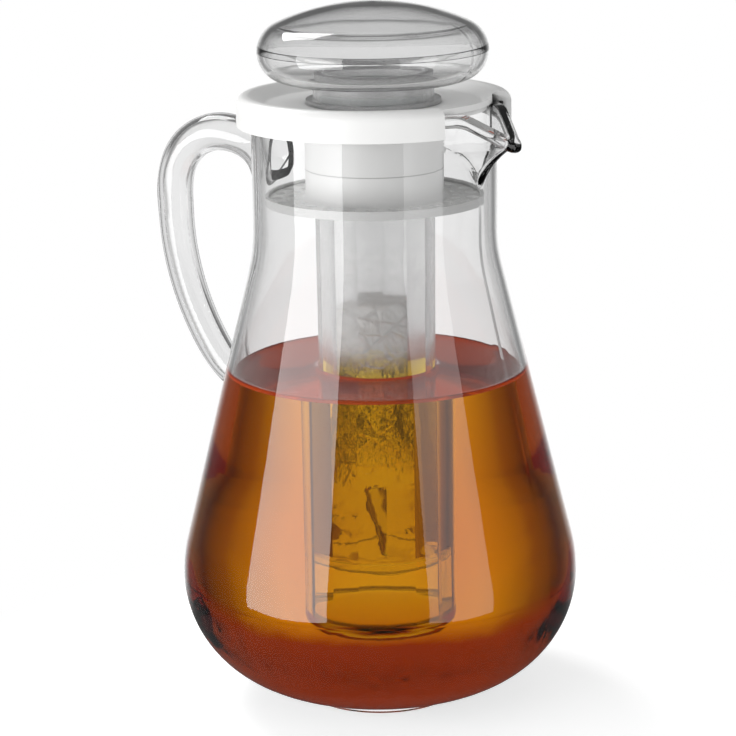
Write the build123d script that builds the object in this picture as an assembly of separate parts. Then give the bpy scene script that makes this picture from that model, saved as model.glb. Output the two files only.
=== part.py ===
from build123d import *
import os
from math import sin, cos, tan, acos, asin, atan2, degrees, radians, sqrt, pi

# Water pitcher with a lift off pouring lid, an ice tube and a hollow knob that plugs the tube.
# The origin is on the body's axis, on the plane that the pitcher stands on. +Z is up,
# the spout points along +X and the handle along -X. All lengths are in millimetres.

os.makedirs("parts", exist_ok=True)

# Body: foot, belly, cone and neck
BELLY_RADIUS = 86.0         # widest radius of the belly
BELLY_HEIGHT = 56.0         # height of the widest place
BELLY_CURVE = 50.0          # radius of the belly's round side below its widest place
SHOULDER_CURVE = 60.0       # and above it
RIM_HEIGHT = 261.0
NECK_RADIUS = 52.0
NECK_LENGTH = 53.2          # upright part of the neck below the rim
NECK_BLEND = 70.0           # radius of the hollow curve between cone and neck
BODY_WALL = 3.0
FOOT_RADIUS = 34.0          # outside of the foot ring
FOOT_WIDTH = 3.0
PUSH_UP = 2.6               # how far the middle of the base stands above its edge

# Rim roll and spout
ROLL_OUT = 2.0              # how far the roll stands out from the neck
ROLL_HEIGHT = 5.0
ROLL_EDGE = 1.8             # rounding of the roll
SPOUT_REACH = 69.8          # distance from the axis to where the two panels would meet
SPOUT_DEPTH = 37.0          # from the rim down to where the spout starts to leave the neck
SPOUT_BOW = 3.2             # how far the keel line is hollowed from a straight line
SPOUT_TIP_DEPTH = 13.4      # from the rim down to where the keel turns upright
SPOUT_CHIN = 5.0            # rounding below the lip, where the keel turns upright
SPOUT_HALF_ANGLE = 45.0     # angle between each panel and the spout's middle plane
SPOUT_NOSE = 3.6            # rounding of the keel
SPOUT_NOSE_INSIDE = 2.6
PANEL_SHORT = 6.5           # how much shorter than the neck's radius each panel runs back
SPOUT_CREASE = 4.0          # rounding where the panels leave the neck
SPOUT_SPAN = 39.0           # how far into the neck the wedge behind the panels reaches
SPOUT_DIP_START = 52.5      # distance from the axis where the rim starts to fall
SPOUT_DIP_END = 66.5
SPOUT_DIP = 10.8            # how far the rim falls towards the lip
LIP_FALL = 1.6              # further fall along the lip
DIP_CURVE = 7.0             # rounding of the rim's two bends

# Handle: a tapering hollow tube
HANDLE_ROOT_DROP = 26.5     # from the rim down to the middle of the upper root
HANDLE_ROOT_WIDTH = 23.0
HANDLE_ROOT_DEPTH = 33.0    # upright size of the upper root
HANDLE_ROOT_RUN = 20.0      # length along the centre line where the root flares
HANDLE_TOP_DROP = 18.1      # from the rim down to the centre line at its highest
HANDLE_REACH = 104.8        # furthest distance of the centre line from the axis
HANDLE_BEND = 26.5          # radius of the upper bend
HANDLE_SIDE_DROP = 52.5     # from the rim down to where the long side starts to curve in
HANDLE_SIDE_CURVE = 111.0   # radius of the long side
HANDLE_SIDE_ANGLE = 36.5    # turn of the long side, in degrees
HANDLE_TOE_DROP = 129.5     # from the rim down to where the lower end meets the cone
HANDLE_TOE_RUN = 20.0       # length of the taper at the lower end
HANDLE_SIZE = 17.3          # diameter below the root
HANDLE_LOW_SIZE = 14.6      # diameter where the lower taper starts
HANDLE_TOE_SIZE = 12.6
HANDLE_WALL = 2.2
ROOT_SECTIONS = 3           # rings that shape the root's flare
HANDLE_SECTIONS = 12        # rings that shape the tube below the root

# Lid ring with its sleeve
SKIRT_CLEARANCE = 0.6       # between skirt and rim roll
SKIRT_THICKNESS = 3.4
SKIRT_DROP = 8.6            # how far the skirt hangs below the rim
LID_CROWN = 4.2             # height of the lid's edge above the rim
LID_EDGE = 3.9              # rounding of the lid's top edge
DISH_EDGE = 3.0             # rounding round the dish's floor
LID_CROWN_WIDTH = 5.0
DISH_RADIUS = 45.5          # radius of the flat floor of the dish
LID_THICKNESS = 2.2
NOTCH_HALF_WIDTH = 27.5
NOTCH_DEPTH_RADIUS = 50.0
SLEEVE_RADIUS = 29.4
SLEEVE_CLEARANCE = 0.35     # between sleeve and ice tube
SLEEVE_LENGTH = 27.3        # from the dish down to the parting line with the strainer
SLEEVE_ROOT = 2.5           # rounding where the sleeve meets plate or flange

# Strainer ring
STRAINER_RADIUS = 46.5
STRAINER_DEPTH = 14.5       # from the parting line down to the strainer's underside
STRAINER_THICKNESS = 2.2
STRAINER_LIP_HEIGHT = 1.4
STRAINER_LIP_WIDTH = 1.3
SPIGOT_HEIGHT = 5.5
SPIGOT_THICKNESS = 1.5
SPIGOT_CLEARANCE = 0.1
HOLES_PER_RING = 24
OUTER_HOLE = 5.6
OUTER_HOLE_CIRCLE = 41.6
INNER_HOLE = 4.8
INNER_HOLE_CIRCLE = 35.2

# Ice tube
TUBE_RADIUS = 25.8          # under the flange
TUBE_BOTTOM_RADIUS = 24.6
TUBE_BOTTOM = 36.5          # height of the tube's underside
TUBE_FLOOR = 3.5
TUBE_BOTTOM_EDGE = 3.0
TUBE_RISE = 9.4             # how far the tube's neck stands above the dish
TUBE_NECK_RADIUS = 25.5
TUBE_NECK_WALL = 2.1
TUBE_NECK_DEPTH = 18.0      # length of the round bore at the top
TUBE_FLANGE_RADIUS = 28.6
TUBE_FLANGE = 1.8
TUBE_FACETS = 14
TUBE_BORE_TAPER = 0.8       # how much narrower the faceted bore is at its floor

# Knob: dome, base, plug and seal
KNOB_RADIUS = 48.8
KNOB_EDGE = 12.6            # radius of the knob's round side
KNOB_DOME = 100.0           # radius of the shallow dome
KNOB_WALL = 2.6
KNOB_LAP = 2.0              # height of the lip inside the knob's seam
KNOB_LAP_WIDTH = 1.2
KNOB_LAP_CLEARANCE = 0.1
PLUG_CLEARANCE = 0.3
PLUG_DEPTH = 13.4
PLUG_WALL = 2.3
PLUG_SPIGOT = 1.5           # thickness of the plug's collar inside the base's hole
PLUG_SPIGOT_CLEARANCE = 0.1
SEAL_HEIGHT = 3.0
SEAL_DEPTH = 1.5            # how deep the seal's groove is
SEAL_MIDDLE = 6.4           # from the plug's shoulder down to the seal
SEAL_CLEARANCE = 0.15       # between seal and tube
SEAL_EDGE = 0.7

# Cutting shapes reach this many times past what they cut
CUT_PAST = 1.5


def outline(*lines):
    """Turn a closed run of lines, drawn as radius and height, into a face beside the axis."""
    return Plane.XZ * make_face(Curve() + list(lines))


def turned(*lines):
    """A solid turned about the upright axis."""
    return revolve(outline(*lines), Axis.Z)


def arc_points(centre, radius, start, end):
    """Start, middle and end of an arc in the side view, from two angles in degrees."""
    angles = [radians(a) for a in (start, (start + end) / 2, end)]
    return [(centre[0] + radius * cos(a), centre[1] + radius * sin(a)) for a in angles]


BELLY_CENTRE = (BELLY_RADIUS - BELLY_CURVE, BELLY_HEIGHT)
SHOULDER_CENTRE = (BELLY_RADIUS - SHOULDER_CURVE, BELLY_HEIGHT)
BASE_EDGE = BELLY_HEIGHT - sqrt(BELLY_CURVE ** 2 - (FOOT_RADIUS - BELLY_CENTRE[0]) ** 2)
BLEND_CENTRE = (NECK_RADIUS + NECK_BLEND, RIM_HEIGHT - NECK_LENGTH)
# The cone's side touches the shoulder's circle from outside and the blend's circle from inside
CENTRES_OUT = BLEND_CENTRE[0] - SHOULDER_CENTRE[0]
CENTRES_UP = BLEND_CENTRE[1] - SHOULDER_CENTRE[1]
CONE_ANGLE = degrees(asin((SHOULDER_CURVE + NECK_BLEND) / sqrt(CENTRES_OUT ** 2 + CENTRES_UP ** 2))
                     - atan2(CENTRES_OUT, CENTRES_UP))
DISH_FLOOR = RIM_HEIGHT
SLEEVE_END = DISH_FLOOR - SLEEVE_LENGTH
STRAINER_BOTTOM = SLEEVE_END - STRAINER_DEPTH
TUBE_TOP = DISH_FLOOR + TUBE_RISE


def cone_radius(height):
    """Outer radius of the cone at a height."""
    start = arc_points(SHOULDER_CENTRE, SHOULDER_CURVE, 0, CONE_ANGLE)[2]
    return start[0] - (height - start[1]) * tan(radians(CONE_ANGLE))


def body_filled(inset):
    """The body as a solid block, smaller all round by the inset."""
    curve = BELLY_CURVE - inset
    foot = -acos((FOOT_RADIUS - BELLY_CENTRE[0]) / curve) * 180 / pi
    belly = arc_points(BELLY_CENTRE, curve, foot, 0)
    shoulder = arc_points(SHOULDER_CENTRE, SHOULDER_CURVE - inset, 0, CONE_ANGLE)
    neck = arc_points(BLEND_CENTRE, NECK_BLEND + inset, 180 + CONE_ANGLE, 180)
    middle = (0, BASE_EDGE + PUSH_UP + inset)
    top = RIM_HEIGHT + ROLL_HEIGHT
    return turned(
        TangentArc(middle, belly[0], tangent=(1, 0)),
        ThreePointArc(*belly),
        ThreePointArc(*shoulder),
        Line(shoulder[2], neck[0]),
        ThreePointArc(*neck),
        Line(neck[2], (neck[2][0], top)),
        Line((neck[2][0], top), (0, top)),
        Line((0, top), middle),
    )


def spout_filled(inset, nose):
    """The pinched spout as a solid wedge: the keel's side view pushed back along each panel."""
    reach = SPOUT_REACH - inset / sin(radians(SPOUT_HALF_ANGLE))
    start = NECK_RADIUS - inset / sin(radians(SPOUT_HALF_ANGLE))
    bottom = RIM_HEIGHT - SPOUT_DEPTH
    keel_low = Vector(start, bottom)
    keel_high = Vector(reach, RIM_HEIGHT - SPOUT_TIP_DEPTH)
    top = RIM_HEIGHT + ROLL_HEIGHT
    back = NECK_RADIUS - SPOUT_SPAN
    side = outline(
        SagittaArc(keel_low, keel_high, SPOUT_BOW),
        Line(keel_high, (reach, top)),
        Line((reach, top), (back, top)),
        Line((back, top), (back, bottom)),
        Line((back, bottom), keel_low),
    )
    chin = side.vertices().sort_by_distance((keel_high.X, 0, keel_high.Y))[0]
    side = fillet(chin, SPOUT_CHIN)
    angle = radians(SPOUT_HALF_ANGLE)
    run = NECK_RADIUS - PANEL_SHORT
    panels = [extrude(side, run, dir=(-cos(angle), s * sin(angle), 0)) for s in (1, -1)]
    wedge = panels[0] + panels[1]
    keel = [e for e in wedge.edges() if abs(e.center().Y) < 0.01 and e.center().X > back + 1
            and e.bounding_box().size.Y < 0.01 and e.bounding_box().size.Z > 1]
    return fillet(keel, nose)


def vessel_filled(inset, nose):
    """Body and spout as one block, with the creases between them rounded."""
    block = body_filled(inset) + spout_filled(inset, nose)
    neck = NECK_RADIUS - inset

    def on_neck(edge):
        places = [edge @ 0.3, edge @ 0.7]
        return all(abs(sqrt(p.X ** 2 + p.Y ** 2) - neck) < 0.02 and p.X > 0 for p in places)

    creases = [e for e in block.edges() if on_neck(e) and e.length > SPOUT_NOSE
               and e.bounding_box().size.Z > 1]
    return fillet(creases, SPOUT_CREASE)


def rim_line(drop):
    """The rim's height seen from the side, level round the neck and falling along the spout."""
    far = BELLY_RADIUS * CUT_PAST
    slope_end = RIM_HEIGHT - SPOUT_DIP - drop
    per_length = LIP_FALL / (SPOUT_REACH - SPOUT_DIP_END)
    points = [(-far, RIM_HEIGHT - drop), (SPOUT_DIP_START, RIM_HEIGHT - drop),
              (SPOUT_DIP_END, slope_end), (far, slope_end - per_length * (far - SPOUT_DIP_END))]
    return points, FilletPolyline(*points, radius=DIP_CURVE)


def above_rim(drop):
    """Everything above the rim line, to be cut away."""
    points, line = rim_line(drop)
    top = RIM_HEIGHT * CUT_PAST
    side = outline(line, Line(points[-1], (points[-1][0], top)),
                   Line((points[-1][0], top), (points[0][0], top)),
                   Line((points[0][0], top), points[0]))
    return extrude(side, BELLY_RADIUS, both=True)


def rim_plan(out):
    """The rim seen from above: a circle with the two straight panels of the spout."""
    angle = radians(SPOUT_HALF_ANGLE)
    nose = SPOUT_REACH + out / sin(angle)
    run = NECK_RADIUS - PANEL_SHORT
    wing = (nose - run * cos(angle), run * sin(angle))
    wedge = make_face(Polyline((nose, 0), wing, (0, wing[1]), (0, -wing[1]), (wing[0], -wing[1]),
                               (nose, 0)))
    plan = Circle(NECK_RADIUS + out) + wedge
    tip = plan.vertices().sort_by(Axis.X)[-1]
    plan = fillet(tip, SPOUT_NOSE + out)
    creases = [v for v in plan.vertices() if abs(v.Y) > SPOUT_NOSE + out and v.X > 0
               and abs(sqrt(v.X ** 2 + v.Y ** 2) - NECK_RADIUS - out) < 0.01]
    return fillet(creases, SPOUT_CREASE)


def rim_roll():
    """The thick band round the rim and along the spout."""
    band = extrude(rim_plan(ROLL_OUT), RIM_HEIGHT * CUT_PAST)
    band = (band & above_rim(ROLL_HEIGHT)) - above_rim(0)
    return fillet(band.edges(), ROLL_EDGE)


HANDLE_PLANE = Plane((0, 0, 0), x_dir=(-1, 0, 0), z_dir=(0, 1, 0))


def handle_path():
    """The handle's centre line, from inside the neck's wall to inside the cone's wall."""
    into_wall = BODY_WALL / 2
    lean = radians(CONE_ANGLE)
    toe_height = RIM_HEIGHT - HANDLE_TOE_DROP
    root = (NECK_RADIUS - into_wall, RIM_HEIGHT - HANDLE_ROOT_DROP)
    top = (HANDLE_REACH - HANDLE_BEND, RIM_HEIGHT - HANDLE_TOP_DROP)
    shoulder = (HANDLE_REACH, top[1] - HANDLE_BEND)
    bend = arc_points((top[0], shoulder[1]), HANDLE_BEND, 90, 0)
    side_centre = (HANDLE_REACH - HANDLE_SIDE_CURVE, RIM_HEIGHT - HANDLE_SIDE_DROP)
    side = arc_points(side_centre, HANDLE_SIDE_CURVE, 0, -HANDLE_SIDE_ANGLE)
    along = (-sin(radians(HANDLE_SIDE_ANGLE)), -cos(radians(HANDLE_SIDE_ANGLE)))
    toe = (cone_radius(toe_height) - into_wall * cos(lean), toe_height - into_wall * sin(lean))
    pieces = [
        TangentArc(top, root, tangent=(-1, 0)),
        ThreePointArc(*bend),
        Line(shoulder, side[0]),
        ThreePointArc(*side),
        TangentArc(side[2], toe, tangent=along),
    ]
    return HANDLE_PLANE * Wire([p.edge() for p in pieces])


def handle_place(path, run):
    """Plane across the handle at a distance along its centre line from the upper root."""
    t = run / path.length
    downwards = path.position_at(0).Z > path.position_at(1).Z
    if not downwards:
        return Plane(origin=path.position_at(1 - t), x_dir=(0, 1, 0), z_dir=-path.tangent_at(1 - t))
    return Plane(origin=path.position_at(t), x_dir=(0, 1, 0), z_dir=path.tangent_at(t))


def handle_solid(wall):
    """The handle as a block, thinner all round by the wall."""
    path = handle_path()
    toe_start = path.length - HANDLE_TOE_RUN
    last = path.length if wall == 0 else path.length - HANDLE_TOE_RUN / 2
    step = (last - HANDLE_ROOT_RUN) / HANDLE_SECTIONS
    runs = [HANDLE_ROOT_RUN * k / ROOT_SECTIONS for k in range(ROOT_SECTIONS)]
    runs += [HANDLE_ROOT_RUN + step * k for k in range(HANDLE_SECTIONS + 1)]
    sections = []
    for run in runs:
        size = HANDLE_SIZE + (HANDLE_LOW_SIZE - HANDLE_SIZE) * min(1, run / toe_start)
        size += (HANDLE_TOE_SIZE - HANDLE_LOW_SIZE) * max(0, (run - toe_start) / HANDLE_TOE_RUN)
        flare = max(0, 1 - run / HANDLE_ROOT_RUN) ** 2
        width = size + (HANDLE_ROOT_WIDTH - size) * flare
        depth = size + (HANDLE_ROOT_DEPTH - size) * flare
        sections.append(handle_place(path, run) * Ellipse(width / 2 - wall, depth / 2 - wall))
    return loft(sections)


def handle_hollow():
    """The handle's inside, which opens through the neck's wall."""
    half_width = HANDLE_ROOT_WIDTH / 2 - HANDLE_WALL
    half_depth = HANDLE_ROOT_DEPTH / 2 - HANDLE_WALL
    mouth = handle_place(handle_path(), 0) * Ellipse(half_width, half_depth)
    return handle_solid(HANDLE_WALL) + extrude(mouth, -BODY_WALL * CUT_PAST)


def foot_ring():
    """The narrow ring that the pitcher stands on."""
    inner = FOOT_RADIUS - FOOT_WIDTH
    top = BASE_EDGE + BODY_WALL / 2
    return turned(Polyline((inner, 0), (FOOT_RADIUS, 0), (FOOT_RADIUS, top), (inner, top), (inner, 0)))


def make_pitcher_body():
    block = vessel_filled(0, SPOUT_NOSE) - above_rim(0)
    block = block + rim_roll() + foot_ring()
    block = block - vessel_filled(BODY_WALL, SPOUT_NOSE_INSIDE)
    return block - handle_hollow()


def make_handle():
    handle = handle_solid(0) - vessel_filled(0, SPOUT_NOSE) - handle_hollow()
    return handle.solids().sort_by(SortBy.VOLUME)[-1]


SLEEVE_BORE = TUBE_RADIUS + SLEEVE_CLEARANCE
SKIRT_INSIDE = NECK_RADIUS + ROLL_OUT + SKIRT_CLEARANCE
LID_RADIUS = SKIRT_INSIDE + SKIRT_THICKNESS
LID_TOP = RIM_HEIGHT + LID_CROWN


def make_lid_collar():
    """Skirt, crown, dish and sleeve in one turn, with the slot for the spout cut out."""
    skirt_end = RIM_HEIGHT - SKIRT_DROP
    crown_in = LID_RADIUS - LID_CROWN_WIDTH
    plate_end = NECK_RADIUS - BODY_WALL - SKIRT_CLEARANCE
    under = DISH_FLOOR - LID_THICKNESS
    spigot_bore = SLEEVE_BORE + SPIGOT_THICKNESS + SPIGOT_CLEARANCE
    spigot_top = SLEEVE_END + SPIGOT_HEIGHT
    ring = turned(Polyline(
        (SLEEVE_BORE, DISH_FLOOR), (SLEEVE_BORE, spigot_top), (spigot_bore, spigot_top),
        (spigot_bore, SLEEVE_END), (SLEEVE_RADIUS, SLEEVE_END), (SLEEVE_RADIUS, under),
        (plate_end, under), (plate_end, RIM_HEIGHT), (SKIRT_INSIDE, RIM_HEIGHT),
        (SKIRT_INSIDE, skirt_end), (LID_RADIUS, skirt_end), (LID_RADIUS, LID_TOP),
        (crown_in, LID_TOP), (DISH_RADIUS, DISH_FLOOR), (SLEEVE_BORE, DISH_FLOOR)))

    def circle(radius, height):
        return [e for e in ring.edges() if e.geom_type == GeomType.CIRCLE
                and abs(e.radius - radius) < 0.01 and abs(e.center().Z - height) < 0.01]

    ring = fillet(circle(LID_RADIUS, LID_TOP), LID_EDGE)
    ring = fillet(circle(crown_in, LID_TOP), LID_EDGE / 2)
    ring = fillet(circle(DISH_RADIUS, DISH_FLOOR), DISH_EDGE)
    ring = fillet(circle(SLEEVE_RADIUS, under), SLEEVE_ROOT)
    slot = Pos(LID_RADIUS, 0, RIM_HEIGHT) * Box(LID_RADIUS * 2, NOTCH_HALF_WIDTH * 2, RIM_HEIGHT)
    slot -= Cylinder(NOTCH_DEPTH_RADIUS, RIM_HEIGHT * 2 * CUT_PAST)
    return ring - slot


def make_strainer_ring():
    """Lower sleeve and flange with two staggered rings of holes and a spigot for the lid's sleeve."""
    top = STRAINER_BOTTOM + STRAINER_THICKNESS
    lip_in = STRAINER_RADIUS - STRAINER_LIP_WIDTH
    spigot_out = SLEEVE_BORE + SPIGOT_THICKNESS
    spigot_top = SLEEVE_END + SPIGOT_HEIGHT - SPIGOT_CLEARANCE
    ring = turned(Polyline(
        (SLEEVE_BORE, STRAINER_BOTTOM), (STRAINER_RADIUS, STRAINER_BOTTOM),
        (STRAINER_RADIUS, top + STRAINER_LIP_HEIGHT), (lip_in, top + STRAINER_LIP_HEIGHT),
        (lip_in, top), (SLEEVE_RADIUS, top), (SLEEVE_RADIUS, SLEEVE_END), (spigot_out, SLEEVE_END),
        (spigot_out, spigot_top), (SLEEVE_BORE, spigot_top), (SLEEVE_BORE, STRAINER_BOTTOM)))
    root = [e for e in ring.edges() if e.geom_type == GeomType.CIRCLE
            and abs(e.radius - SLEEVE_RADIUS) < 0.01 and abs(e.center().Z - top) < 0.01]
    ring = fillet(root, SLEEVE_ROOT)
    half_step = 180 / HOLES_PER_RING
    outer = PolarLocations(OUTER_HOLE_CIRCLE, HOLES_PER_RING, start_angle=half_step)
    inner = PolarLocations(INNER_HOLE_CIRCLE, HOLES_PER_RING)
    holes = Sketch() + outer * Circle(OUTER_HOLE / 2) + inner * Circle(INNER_HOLE / 2)
    middle = Pos(0, 0, STRAINER_BOTTOM + STRAINER_THICKNESS / 2)
    return ring - middle * extrude(holes, STRAINER_THICKNESS / 2 * CUT_PAST, both=True)


def make_ice_tube():
    """A tapering beaker with a flange and neck at the top and a many-sided bore."""
    flange_low = DISH_FLOOR
    flange_top = DISH_FLOOR + TUBE_FLANGE
    tube = turned(Polyline(
        (0, TUBE_BOTTOM), (TUBE_BOTTOM_RADIUS, TUBE_BOTTOM), (TUBE_RADIUS, flange_low),
        (TUBE_FLANGE_RADIUS, flange_low), (TUBE_FLANGE_RADIUS, flange_top),
        (TUBE_NECK_RADIUS, flange_top), (TUBE_NECK_RADIUS, TUBE_TOP), (0, TUBE_TOP),
        (0, TUBE_BOTTOM)))
    low_edge = tube.edges().filter_by(GeomType.CIRCLE).sort_by(Axis.Z)[0]
    tube = fillet(low_edge, TUBE_BOTTOM_EDGE)
    bore = TUBE_NECK_RADIUS - TUBE_NECK_WALL
    round_end = TUBE_TOP - TUBE_NECK_DEPTH
    floor = TUBE_BOTTOM + TUBE_FLOOR
    facets = loft([
        Pos(0, 0, floor) * RegularPolygon(bore - TUBE_BORE_TAPER, TUBE_FACETS),
        Pos(0, 0, round_end) * RegularPolygon(bore, TUBE_FACETS)], ruled=True)
    neck_bore = Pos(0, 0, round_end) * extrude(Circle(bore), TUBE_NECK_DEPTH * CUT_PAST)
    return tube - facets - neck_bore


EDGE_RING = KNOB_RADIUS - KNOB_EDGE
KNOB_SEAM = TUBE_TOP + KNOB_EDGE
TUBE_BORE = TUBE_NECK_RADIUS - TUBE_NECK_WALL
PLUG_RADIUS = TUBE_BORE - PLUG_CLEARANCE
SEAL_RADIUS = TUBE_BORE - SEAL_CLEARANCE
DOME_CENTRE = KNOB_SEAM - sqrt((KNOB_DOME - KNOB_EDGE) ** 2 - EDGE_RING ** 2)


def dome_lines(inset, start):
    """The dome's side view from the seam, or a little above it, up to the axis."""
    edge = KNOB_EDGE - inset
    dome = KNOB_DOME - inset
    meet = acos(EDGE_RING / (KNOB_DOME - KNOB_EDGE)) * 180 / pi
    side = arc_points((EDGE_RING, KNOB_SEAM), edge, start, meet)
    crown = arc_points((0, DOME_CENTRE), dome, meet, 90)
    return side, crown


def make_knob_dome():
    """Upper shell of the knob, with a rebate for the lip of the base."""
    side, crown = dome_lines(0, 0)
    side_in, crown_in = dome_lines(KNOB_WALL, 0)
    shell = turned(
        ThreePointArc(*side), ThreePointArc(*crown), Line(crown[2], crown_in[2]),
        ThreePointArc(*crown_in), ThreePointArc(*side_in), Line(side_in[0], side[0]))
    rebate_out = KNOB_RADIUS - KNOB_WALL + KNOB_LAP_WIDTH + KNOB_LAP_CLEARANCE
    rebate_top = KNOB_SEAM + KNOB_LAP + KNOB_LAP_CLEARANCE
    rebate = Pos(0, 0, KNOB_SEAM) * extrude(Circle(rebate_out), rebate_top - KNOB_SEAM)
    return shell - rebate


def make_knob_base():
    """Lower shell of the knob, with a hole for the plug's collar and a lip inside the seam."""
    low_out = arc_points((EDGE_RING, KNOB_SEAM), KNOB_EDGE, -90, 0)
    low_in = arc_points((EDGE_RING, KNOB_SEAM), KNOB_EDGE - KNOB_WALL, -90, 0)
    hole = PLUG_RADIUS - PLUG_WALL + PLUG_SPIGOT + PLUG_SPIGOT_CLEARANCE
    lip_in = KNOB_RADIUS - KNOB_WALL
    lip_out = lip_in + KNOB_LAP_WIDTH
    lip_top = KNOB_SEAM + KNOB_LAP
    return turned(
        Line((hole, TUBE_TOP), low_out[0]),
        ThreePointArc(*low_out),
        Polyline(low_out[2], (lip_out, KNOB_SEAM), (lip_out, lip_top), (lip_in, lip_top), low_in[2]),
        ThreePointArc(*low_in),
        Polyline(low_in[0], (hole, TUBE_TOP + KNOB_WALL), (hole, TUBE_TOP)))


def make_knob_plug():
    """Cup that hangs from the knob's base into the ice tube, with a groove for the seal."""
    plug_end = TUBE_TOP - PLUG_DEPTH
    plug_in = PLUG_RADIUS - PLUG_WALL
    collar_out = plug_in + PLUG_SPIGOT
    seal_mid = TUBE_TOP - SEAL_MIDDLE
    groove = PLUG_RADIUS - SEAL_DEPTH
    return turned(Polyline(
        (0, plug_end), (PLUG_RADIUS, plug_end), (PLUG_RADIUS, seal_mid - SEAL_HEIGHT / 2),
        (groove, seal_mid - SEAL_HEIGHT / 2), (groove, seal_mid + SEAL_HEIGHT / 2),
        (PLUG_RADIUS, seal_mid + SEAL_HEIGHT / 2), (PLUG_RADIUS, TUBE_TOP), (collar_out, TUBE_TOP),
        (collar_out, TUBE_TOP + KNOB_WALL), (plug_in, TUBE_TOP + KNOB_WALL),
        (plug_in, plug_end + PLUG_WALL), (0, plug_end + PLUG_WALL), (0, plug_end)))


def make_plug_seal():
    """Soft ring in the plug's groove."""
    middle = TUBE_TOP - SEAL_MIDDLE
    inner = PLUG_RADIUS - SEAL_DEPTH
    ring = turned(Polyline(
        (inner, middle - SEAL_HEIGHT / 2), (SEAL_RADIUS, middle - SEAL_HEIGHT / 2),
        (SEAL_RADIUS, middle + SEAL_HEIGHT / 2), (inner, middle + SEAL_HEIGHT / 2),
        (inner, middle - SEAL_HEIGHT / 2)))
    outer_edges = [e for e in ring.edges().filter_by(GeomType.CIRCLE)
                   if abs(e.radius - SEAL_RADIUS) < 0.01]
    return fillet(outer_edges, SEAL_EDGE)


makers = {
    "pitcher_body": make_pitcher_body,
    "handle": make_handle,
    "lid_collar": make_lid_collar,
    "strainer_ring": make_strainer_ring,
    "ice_tube": make_ice_tube,
    "knob_dome": make_knob_dome,
    "knob_base": make_knob_base,
    "knob_plug": make_knob_plug,
    "plug_seal": make_plug_seal,
}

for name, make in makers.items():
    solid = make()
    solid.label = name
    export_step(solid, f"parts/{name}.step")
    box = solid.bounding_box()
    print(f"{name}: {len(solid.solids())} solid, {solid.volume / 1000:.1f} ml,"
          f" z {box.min.Z:.1f} to {box.max.Z:.1f}, r {box.max.X:.1f}, valid {solid.is_valid}")
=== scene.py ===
# %% Load the frame
from math import atan2, cos, exp, pi, radians, sin
import bpy
from mathutils import Matrix, Vector


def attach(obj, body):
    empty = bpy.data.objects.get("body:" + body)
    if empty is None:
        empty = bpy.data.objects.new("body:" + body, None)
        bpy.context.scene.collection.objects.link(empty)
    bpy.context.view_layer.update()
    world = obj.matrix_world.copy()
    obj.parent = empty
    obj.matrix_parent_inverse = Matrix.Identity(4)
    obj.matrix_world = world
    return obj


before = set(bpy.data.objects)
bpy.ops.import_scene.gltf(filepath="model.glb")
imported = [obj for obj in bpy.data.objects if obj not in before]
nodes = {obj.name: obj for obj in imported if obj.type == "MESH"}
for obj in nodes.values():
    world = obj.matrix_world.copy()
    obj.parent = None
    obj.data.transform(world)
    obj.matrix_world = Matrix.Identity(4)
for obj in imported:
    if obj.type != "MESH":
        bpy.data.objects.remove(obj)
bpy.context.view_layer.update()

scene = bpy.context.scene
print("nodes of the frame:", ", ".join(sorted(nodes)))

# %% [markdown]
# # A clear pitcher of tea with an ice tube
# The pitcher, its lid, its ice tube and its knob come from the frame, in metres, standing on the
# plane where Z is zero. This notebook gives them their finishes and adds what the maker's drawing
# leaves out: the tea, the block of ice and its melt water. Clear things are drawn by the light that
# passes through them, so the order is camera, surroundings, plastics, and then what they hold.
#
# Two helpers serve every material. One turns a hex code into Blender's linear colour. The other
# adds a node, and gives each of its inputs a value or a link.

# %% Small helpers
MM = 0.001


def colour(code):
    """A colour for Blender from an sRGB hex code such as F4F4F2."""
    parts = [int(code[i:i + 2], 16) / 255 for i in (0, 2, 4)]
    return tuple(p / 12.92 if p <= 0.04045 else ((p + 0.055) / 1.055) ** 2.4 for p in parts) + (1.0,)


def add_node(tree, kind, sockets=None, **settings):
    """Add one shader node. An input takes a value, a socket, or a node's first output."""
    made = tree.nodes.new("ShaderNode" + kind)
    for name, value in settings.items():
        setattr(made, name, value)
    for name, value in (sockets or {}).items():
        if isinstance(value, bpy.types.Node):
            value = value.outputs[0]
        if isinstance(value, bpy.types.NodeSocket):
            tree.links.new(value, made.inputs[name])
        else:
            made.inputs[name].default_value = value
    return made


def new_material(name):
    """An empty node material and its tree."""
    material = bpy.data.materials.new(name)
    material.use_nodes = True
    material.node_tree.nodes.clear()
    return material, material.node_tree


print("helpers ready, one millimetre is", MM, "metres")

# %% [markdown]
# ## Camera
# The camera was placed by fitting the level circles of the foot, the tea, the lid and the knob to
# their ellipses in the photograph. A long lens from a little over a metre gives the same mild
# perspective. Its turn about the upright axis is counted from the line that looks along Y.

# %% Camera
CAMERA_TURN = 32.0
CAMERA_RADIUS = 1.1008
CAMERA_HEIGHT = 0.4212
CAMERA_AIM = 0.209
CAMERA_PITCH = 14.06
CAMERA_ROLL = -0.87
LENS = 128.5
SENSOR_WIDTH = 36.0

lens = bpy.data.cameras.new("camera")
lens.lens = LENS
lens.sensor_width = SENSOR_WIDTH
camera = bpy.data.objects.new("camera", lens)
scene.collection.objects.link(camera)
place = Matrix.Rotation(radians(CAMERA_TURN), 4, "Z") @ Vector((0, -CAMERA_RADIUS, CAMERA_HEIGHT))
camera.matrix_world = (Matrix.Translation(place)
                       @ Matrix.Rotation(radians(CAMERA_TURN + CAMERA_AIM), 4, "Z")
                       @ Matrix.Rotation(radians(90 - CAMERA_PITCH), 4, "X")
                       @ Matrix.Rotation(radians(CAMERA_ROLL), 4, "Z"))
scene.camera = camera
print("camera at", [round(v, 3) for v in place])

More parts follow.
